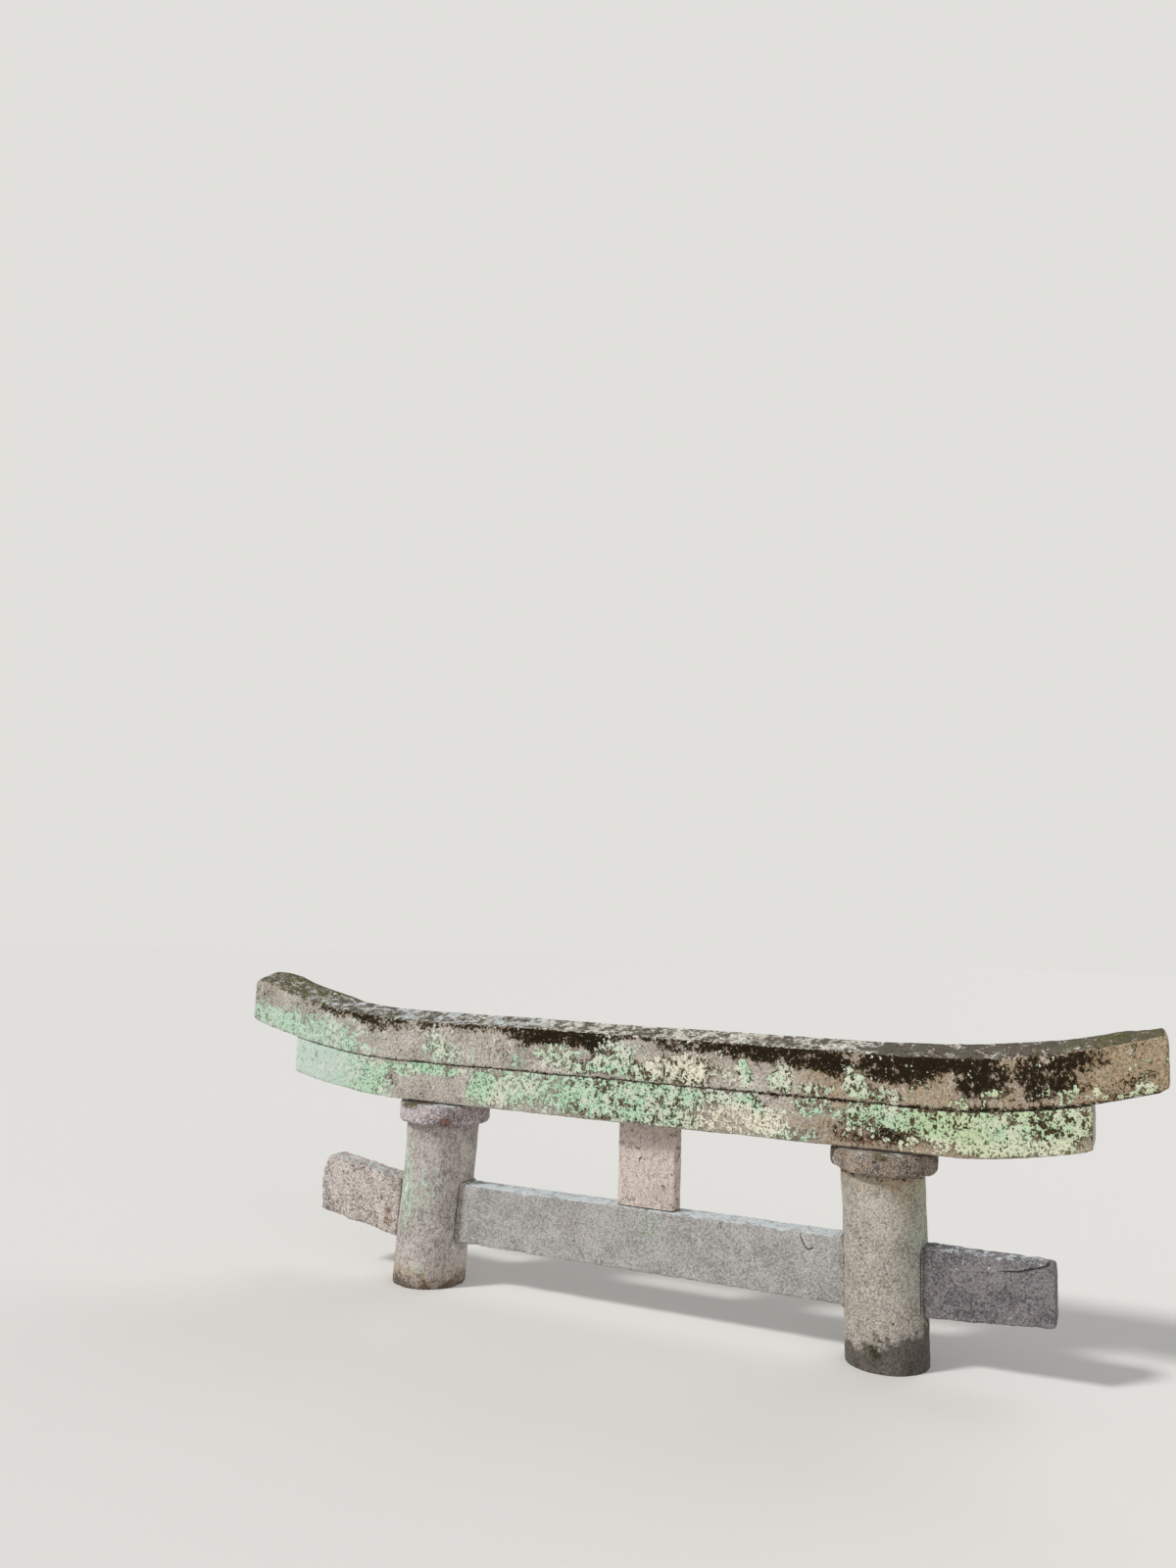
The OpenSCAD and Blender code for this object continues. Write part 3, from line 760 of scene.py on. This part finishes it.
def lintel_layers(piece, lichen, cream, dirt, milk):
    """Growth and stains of a lintel, laid out along the beam and above the joint."""
    points, normals = get_points(piece.data), get_normals(piece.data)
    x, y = points[:, 0], points[:, 1]
    up = points[:, 2] - joint_height(x)
    across = np.where(y > 0, -x, x)
    side = ramp(np.abs(normals[:, 1]), 0.35, 0.75)
    top = ramp(normals[:, 2], 0.6, 0.9) * (up > 0.1)
    end = ramp(np.abs(normals[:, 0]), 0.5, 0.8)
    under = ramp(-normals[:, 2], 0.5, 0.9)
    blotch = layered_noise(points, 0.12, 3, 77)
    patch = layered_noise(points, 0.055, 2, 78)
    ragged = across + 0.030 * layered_noise(points, 0.07, 3, 79)
    lifted = up + 0.012 * layered_noise(points, 0.05, 3, 86)
    creamy = spots(ragged, lifted, cream)
    mint = spots(ragged, lifted, lichen) * side
    dirty = spots(ragged, lifted, dirt) * side
    grown = 1.28 * mint + 0.54 * creamy * side + 0.34 * end - 0.3 * under - 0.30 * dirty * (up > 0)
    # Fewer lichen flecks at the slopes' right end, which is painted shade
    grown += 0.05 * blotch + top * (0.02 + 0.15 * blotch - 0.4 * ramp(across, 0.82, 1.0))
    joint_line = np.exp(-(up / FRINGE) ** 2) * ramp(across, -1.75, -1.5)
    arris = np.exp(-((up - TOP_SIDE_H + 0.005) / 0.010) ** 2) * side * (up > 0.1)
    # The joint line grows darker to the right as painted shadow under the top lintel's overhang
    stain = 1.26 * dirty + 0.05 * blotch * side + (0.42 + 0.25 * ramp(across, 0.2, 0.9)) * joint_line
    # Ends and undersides are made a little darker
    stain += 0.22 * arris * ramp(across, -1.75, -1.4) + 0.12 * end + 0.08 * under
    stain += top * (0.04 + 0.10 * blotch + 0.22 * ramp(np.abs(y), 0.105, 0.135))
    moss = top * (0.52 * ramp(-across, 1.3, 1.6) + 0.38 * ramp(across, 1.40, 1.65) + 0.12 * blotch)
    warm = 0.65 * ramp(across, 1.5, 1.75) * (up > 0) + 0.26 * ramp(-across, 1.4, 1.6) * (up > 0)
    warm += 0.2 * side * ramp(across, -0.7, 0.0) + 0.25 * creamy * side
    warm += 0.40 * side * ramp(across, 0.45, 0.8)
    brown = 0.90 * spots(across, up, [(0.86, -0.115, 0.14, 0.045, 1.0)]) * side
    lime = np.clip(0.45 * ramp(across, 0.75, 1.2) + 0.22 * blotch * ramp(across, 0.6, 0.9), 0, 1)
    grime = 0.5 + 0.5 * ramp(across, -0.38, -0.12) + 0.3 * blotch - 0.4 * ramp(-across, 0.85, 1.15)
    grime = np.clip(grime - 0.9 * creamy * (up < 0), 0.05, 1)
    # Pale and dark mottle of the slopes: partly crust and grime, partly painted sun patches and leaf shadow;
    # the right end is painted shade, less pale and darker
    chalk = 0.68 + 0.10 * patch + 0.08 * ramp(across, -0.6, -0.3)
    chalk -= 0.25 * ramp(-across, 1.35, 1.7) + 0.6 * ramp(across, 0.85, 1.0)
    soot = 0.80 + 0.10 * ramp(-across, 0.9, 1.1) + 0.40 * ramp(across, 0.82, 0.98)
    none = 0 * x
    # The warmth on the top and the cream on the slopes are painted sunlight
    paint(piece, lichen=grown, stain=stain, moss=moss, warm=warm + 0.1 * top, lime=lime, grime=grime,
          milky=milk * ramp(-across, 1.15, 1.5),
          cream=np.clip(creamy + 0.5 * top * ramp(across, -0.6, -0.2), 0, 1),
          film=0.25 * side * ramp(-across, 0.6, 1.2) + 0.40 * mint - 0.1,
          chalk=0.62 * creamy * side * (up < 0) + top * chalk - 0.3, soot=top * soot - 0.4,
          rust=brown - 0.2, damp=none - 0.5, crack=none + 2, cracked=none)


def stone_layers(piece, **given):
    """Layers of a piece without lintel growth: the given ones, and none of the rest."""
    layers = dict.fromkeys(("lichen", "stain", "moss", "warm", "rust", "damp", "film"), -0.5)
    layers |= dict.fromkeys(("lime", "milky", "cream", "grime", "cracked"), 0.0)
    layers |= {"crack": 2.0, "soot": -0.5, "chalk": -0.6} | given
    none = np.zeros(len(piece.data.vertices))
    paint(piece, **{name: none + value for name, value in layers.items()})


def build_lintels():
    growing = stone_material("lichened_lintel_stone", pitted=0.08)
    for side, out, seed in (("left", 1, 1), ("right", -1, 2)):
        moved = [(0, LINTEL_JOINT_X - out * JOINT_HALF_W, out * OVERRUN)]
        cuts = [(0, LINTEL_JOINT_X - out * JOINT_CUT, out)]
        top = weathered(f"top_lintel_stone_{side}", f"top_lintel_{side}", LINTEL_SPACING, seed, wear=1.1,
                        reshape=crooked_top, moved_faces=moved, cuts=cuts, dents=[JOINT_NOTCH])
        lintel_layers(top, TOP_LICHEN, TOP_CREAM, TOP_DIRT, 0.35)
        dress(top, f"top_lintel_{side}", growing)
        lower = weathered(f"lower_lintel_stone_{side}", f"lower_lintel_{side}", LINTEL_SPACING, seed + 2,
                          wear=0.7, reshape=crooked_lower, moved_faces=moved, cuts=cuts)
        lintel_layers(lower, LOWER_LICHEN, LOWER_CREAM, LOWER_DIRT, 0.75)
        dress(lower, f"lower_lintel_{side}", growing)


def build_left_pillar():
    stone = stone_material("left_pillar_stone", pitted=0.06, streaks=1.8, rough=0.85)
    shaft = weathered("pillar_stone_left", "pillar_left", PILLAR_SPACING, 11, wear=0.7,
                      reshape=crooked_pillar, moved_faces=[(2, 0, -OVERRUN), (2, PILLAR_H, OVERRUN)],
                      cuts=[(2, 0, -1)], dents=LEFT_PILLAR_GOUGES)
    points = get_points(shaft.data)
    x, y, z = points.T
    tint = spots(x, z, [(-1.04, 0.42, 0.06, 0.22, 0.40), (-0.95, 0.36, 0.08, 0.13, 0.26),
                        (-0.88, 0.45, 0.05, 0.10, 0.16)]) * (y < 0.05)
    tint += 0.18 * ramp(y, 0.0, 0.1) * ramp(z, 0.15, 0.4)
    uneven = z + 0.03 * layered_noise(points, 0.10, 3, 80)
    stone_layers(shaft, lichen=0.6 * tint - 0.1, milky=0.7, film=1.5 * tint - 0.15,
                 damp=0.8 * ramp(uneven, 0.12, 0.0) - 0.2, warm=0.7 * ramp(uneven, 0.16, 0.03) - 0.1,
                 rust=0.35 * ramp(z, 0.5, 0.62) - 0.2)
    dress(shaft, "pillar_left", stone)
    stone = stone_material("left_capital_stone", pitted=0.35)
    disc = weathered("capital_stone_left", "capital_left", SMALL_SPACING, 13, wear=0.5, relief=1.5,
                     reshape=crisp_rim)
    x, y, z = get_points(disc.data).T
    front = y < 0
    top = ramp(get_normals(disc.data)[:, 2], 0.5, 0.9)
    stone_layers(disc, moss=spots(x, z, [(-0.99, 0.735, 0.09, 0.016, 0.75)]) * front + 0.2 * top - 0.3,
                 rust=spots(x, z, [(-0.825, 0.682, 0.030, 0.022, 0.85)]) * front - 0.1,
                 # Pale top face is painted light from above; the dark band at the foot is painted shade
                 # under the rim
                 chalk=0.9 * top - 0.35, stain=0.7 * ramp(z, 0.670, 0.662) - 0.3, warm=-0.1)
    dress(disc, "capital_left", stone)


def build_right_pillar():
    stone = stone_material("right_pillar_stone", pitted=0.06, streaks=0.8, rough=0.9)
    shaft = weathered("pillar_stone_right", "pillar_right", PILLAR_SPACING, 12, wear=0.7, pit_share=0.4,
                      reshape=crooked_pillar, moved_faces=[(2, 0, -OVERRUN), (2, PILLAR_H, OVERRUN)],
                      cuts=[(2, 0, -1)])
    points = get_points(shaft.data)
    x, y, z = points.T
    uneven = z + 0.045 * layered_noise(points, 0.12, 4, 81) - 0.3 * (x - PILLAR_X)
    warm = 0.12 + 0.30 * ramp(x, 0.9, 1.05) * ramp(z, 0.4, 0.6) + 0.3 * ramp(z, 0.58, 0.65)
    stone_layers(shaft, warm=warm, rust=0.25 * ramp(z, 0.60, 0.65) - 0.1,
                 film=0.45 * ramp(x, 0.98, 1.06) * ramp(z, 0.2, 0.3) - 0.2,
                 # Dark ragged foot: partly damp, partly painted shadow; the darkening at the top, under the
                 # capital, is painted shade
                 damp=ramp(uneven, 0.19, 0.03) - 0.1, stain=0.60 * ramp(z, 0.640, 0.665) - 0.35,
                 moss=0.8 * spots(x, z, [(0.925, 0.08, 0.03, 0.08, 1.0)]) * (y < 0) - 0.35)
    dress(shaft, "pillar_right", stone)
    stone = stone_material("right_capital_stone", pitted=0.25)
    disc = weathered("capital_stone_right", "capital_right", SMALL_SPACING, 14, dents=RIGHT_CAPITAL_CHIPS)
    x, y, z = get_points(disc.data).T
    front = y < 0
    stone_layers(disc, rust=spots(x, z, [(0.815, 0.705, 0.022, 0.05, 0.3)]) * front + 0.05,
                 moss=spots(x, z, [(0.945, 0.732, 0.035, 0.014, 0.95)]) * front - 0.25,
                 # Pale top rim and pale left facet are painted light; the dark band at the foot is painted
                 # shade under the rim
                 chalk=0.62 * ramp(z, 0.736, 0.743) + 0.8 * ramp(x, 0.80, 0.76) - 0.5, warm=0.2,
                 stain=0.7 * ramp(z, 0.673, 0.663) - 0.25)
    dress(disc, "capital_right", stone)


def build_tie_beam():
    stone = stone_material("tie_beam_stone", pitted=0.05, rough=0.7)
    middle = weathered("tie_beam_stone_middle", "tie_beam_middle", TIE_SPACING, 21, wear=0.9, pit_share=0.2,
                       relief=0.65)
    x, y, z = get_points(middle.data).T
    top = ramp(get_normals(middle.data)[:, 2], 0.3, 0.9)
    # Paler top face and upper edge of the front: painted light from above
    stone_layers(middle, chalk=0.9 * top + 0.5 * ramp(z, 0.395, 0.415) - 0.7,
                 crack=beside_line(x, z, MIDDLE_CRACK),
                 cracked=ramp(x, 0.628, 0.637) * ramp(x, 0.688, 0.678) * (y < 0),
                 moss=spots(x, z, [(0.04, 0.35, 0.08, 0.09, 0.50)]) - 0.36,
                 film=spots(x, z, [(0.04, 0.36, 0.08, 0.09, 0.50)]) - 0.30,
                 stain=spots(x, z, [(-0.27, 0.31, 0.06, 0.07, 0.25)]) - 0.40)
    dress(middle, "tie_beam_middle", stone)
    stone = stone_material("tie_beam_stone_pale", pitted=0.6)
    end = weathered("tie_beam_stone_left", "tie_beam_end_left", SMALL_SPACING, 22, wear=1.0, pit_share=0.7,
                    relief=2.2, reshape=crooked_left_end)
    x, y, z = get_points(end.data).T
    top = ramp(get_normals(end.data)[:, 2], 0.4, 0.9)
    # Paler top face: painted light from above
    stone_layers(end, chalk=0.7 * top - 0.35, warm=0.3 * ramp(x, -1.25, -1.12) - 0.1,
                 rust=spots(x, z, [(-1.15, 0.25, 0.035, 0.08, 0.7)]) * (y < 0) - 0.25)
    dress(end, "tie_beam_end_left", stone)
    # A darker copy of the tie beam's stone: painted shade over the right end
    stone = stone_material("tie_beam_stone_dark", pitted=0.3)
    end = weathered("tie_beam_stone_right", "tie_beam_end_right", SMALL_SPACING, 23, wear=1.2, pit_share=0.6,
                    relief=1.6, reshape=crooked_right_end)
    x, y, z = get_points(end.data).T
    top = ramp(get_normals(end.data)[:, 2], 0.4, 0.9)
    split = beside_line(x, z, RIGHT_END_CRACK)
    # Paler top face: painted light from above; paler above the crack too
    stone_layers(end, chalk=0.6 * top + 0.3 * ramp(split, 0, 2) - 0.6, crack=split,
                 cracked=ramp(x, 1.30, 1.36) * (y < 0))
    dress(end, "tie_beam_end_right", stone)


def build_strut():
    stone = stone_material("strut_stone", veins=0.6, pitted=0.05, rough=0.7)
    block = weathered("strut_stone_block", "strut", SMALL_SPACING, 31, wear=0.45, pit_share=0.08, relief=0.5,
                      moved_faces=[(2, STRUT_FOOT, -OVERRUN), (2, LOWER_Z, OVERRUN)],
                      cuts=[(2, STRUT_FOOT + STRUT_CUT, -1)], dents=[STRUT_CHIP])
    x, _, z = get_points(block.data).T
    side = ramp(x, 0.128, 0.136)
    # The right side, warmer and darker, and the top under the lintel, darker, are painted shade
    stone_layers(block, warm=0.25 * side + 0.25 * ramp(z, 0.70, 0.745) - 0.1,
                 stain=0.35 * ramp(z, 0.735, 0.75) + 0.25 * side - 0.3)
    dress(block, "strut", stone)


def build_mortar():
    mortar = stone_material("mortar")
    for node in [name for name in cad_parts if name.startswith("tie_mortar")]:
        piece = weathered(node + "_fillet", node, MORTAR_SPACING, 41, wear=1.6, pit_share=0.5, relief=0.8,
                          reshape=thin_mortar)
        stone_layers(piece, warm=0.0)
        dress(piece, node, mortar)


def plain_mortar(name, colour):
    """Grainy mortar, from a colour to half of it."""
    s = Shade(name)
    grain = s.noise(300, 4, 0.7)
    half = srgb(*(value // 2 for value in colour))
    s.link(s.mix(grain, half, srgb(*colour)), s.surface.inputs["Base Color"])
    s.surface.inputs["Roughness"].default_value = 0.95
    return s.material


def finish_joints():
    """Beds and joint fillings keep their solids, and take a mortar's look."""
    dark = plain_mortar("joint_mortar", DARK_MORTAR)
    pale = plain_mortar("bed_mortar", PALE_MORTAR)
    for node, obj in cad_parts.items():
        if node.startswith("capital_bed") or node.endswith("_joint") or node == "strut_bed":
            obj.data.materials.clear()
            obj.data.materials.append(pale if node.startswith("capital_bed") else dark)


def build_floor():
    bpy.ops.mesh.primitive_circle_add(vertices=FLOOR_SIDES, radius=FLOOR_RADIUS, fill_type="NGON")
    floor = bpy.context.object
    floor.name = "floor"
    material = bpy.data.materials.new("floor")
    material.use_nodes = True
    shader = material.node_tree.nodes["Principled BSDF"]
    shader.inputs["Base Color"].default_value = FLOOR
    shader.inputs["Roughness"].default_value = 0.9
    floor.data.materials.append(material)


def build_lights():
    world = bpy.data.worlds.new("studio")
    bpy.context.scene.world = world
    world.use_nodes = True
    nodes, links = world.node_tree.nodes, world.node_tree.links
    seen = nodes.new("ShaderNodeLightPath")
    shown = nodes.new("ShaderNodeBackground")
    shown.inputs["Color"].default_value = BACKDROP
    lit = nodes["Background"]
    lit.inputs["Color"].default_value = (1, 1, 1, 1)
    lit.inputs["Strength"].default_value = SKY_STRENGTH
    both = nodes.new("ShaderNodeMixShader")
    links.new(seen.outputs["Is Camera Ray"], both.inputs[0])
    links.new(lit.outputs[0], both.inputs[1])
    links.new(shown.outputs[0], both.inputs[2])
    links.new(both.outputs[0], nodes["World Output"].inputs["Surface"])
    for name, place, strength, spread in LAMPS:
        light = bpy.data.lights.new(name, "SUN")
        light.energy = strength
        light.angle = spread
        lamp = bpy.data.objects.new(name, light)
        lamp.location = place
        lamp.rotation_euler = (-Vector(place)).to_track_quat("-Z", "Y").to_euler()
        bpy.context.scene.collection.objects.link(lamp)


def build_camera():
    forward = Vector((-math.sin(CAMERA_YAW) * math.cos(CAMERA_PITCH),
                      math.cos(CAMERA_YAW) * math.cos(CAMERA_PITCH), math.sin(CAMERA_PITCH)))
    level = Vector((math.cos(CAMERA_YAW), math.sin(CAMERA_YAW), 0))
    upward = level.cross(forward)
    right = level * math.cos(CAMERA_ROLL) + upward * math.sin(CAMERA_ROLL)
    top = upward * math.cos(CAMERA_ROLL) - level * math.sin(CAMERA_ROLL)
    lens = bpy.data.cameras.new("camera")
    lens.sensor_fit = "AUTO"
    lens.sensor_width = SENSOR_MM
    lens.lens = FOCAL_PX / IMAGE_HEIGHT_PX * SENSOR_MM
    camera = bpy.data.objects.new("camera", lens)
    turn = Matrix((right, top, -forward)).transposed().to_4x4()
    camera.matrix_world = Matrix.Translation(CAMERA_PLACE) @ turn
    bpy.context.scene.collection.objects.link(camera)
    bpy.context.scene.camera = camera


bpy.context.scene.view_settings.view_transform = "Standard"
build_camera()
build_lights()
build_floor()
build_lintels()
build_left_pillar()
build_right_pillar()
build_tie_beam()
build_strut()
build_mortar()
finish_joints()
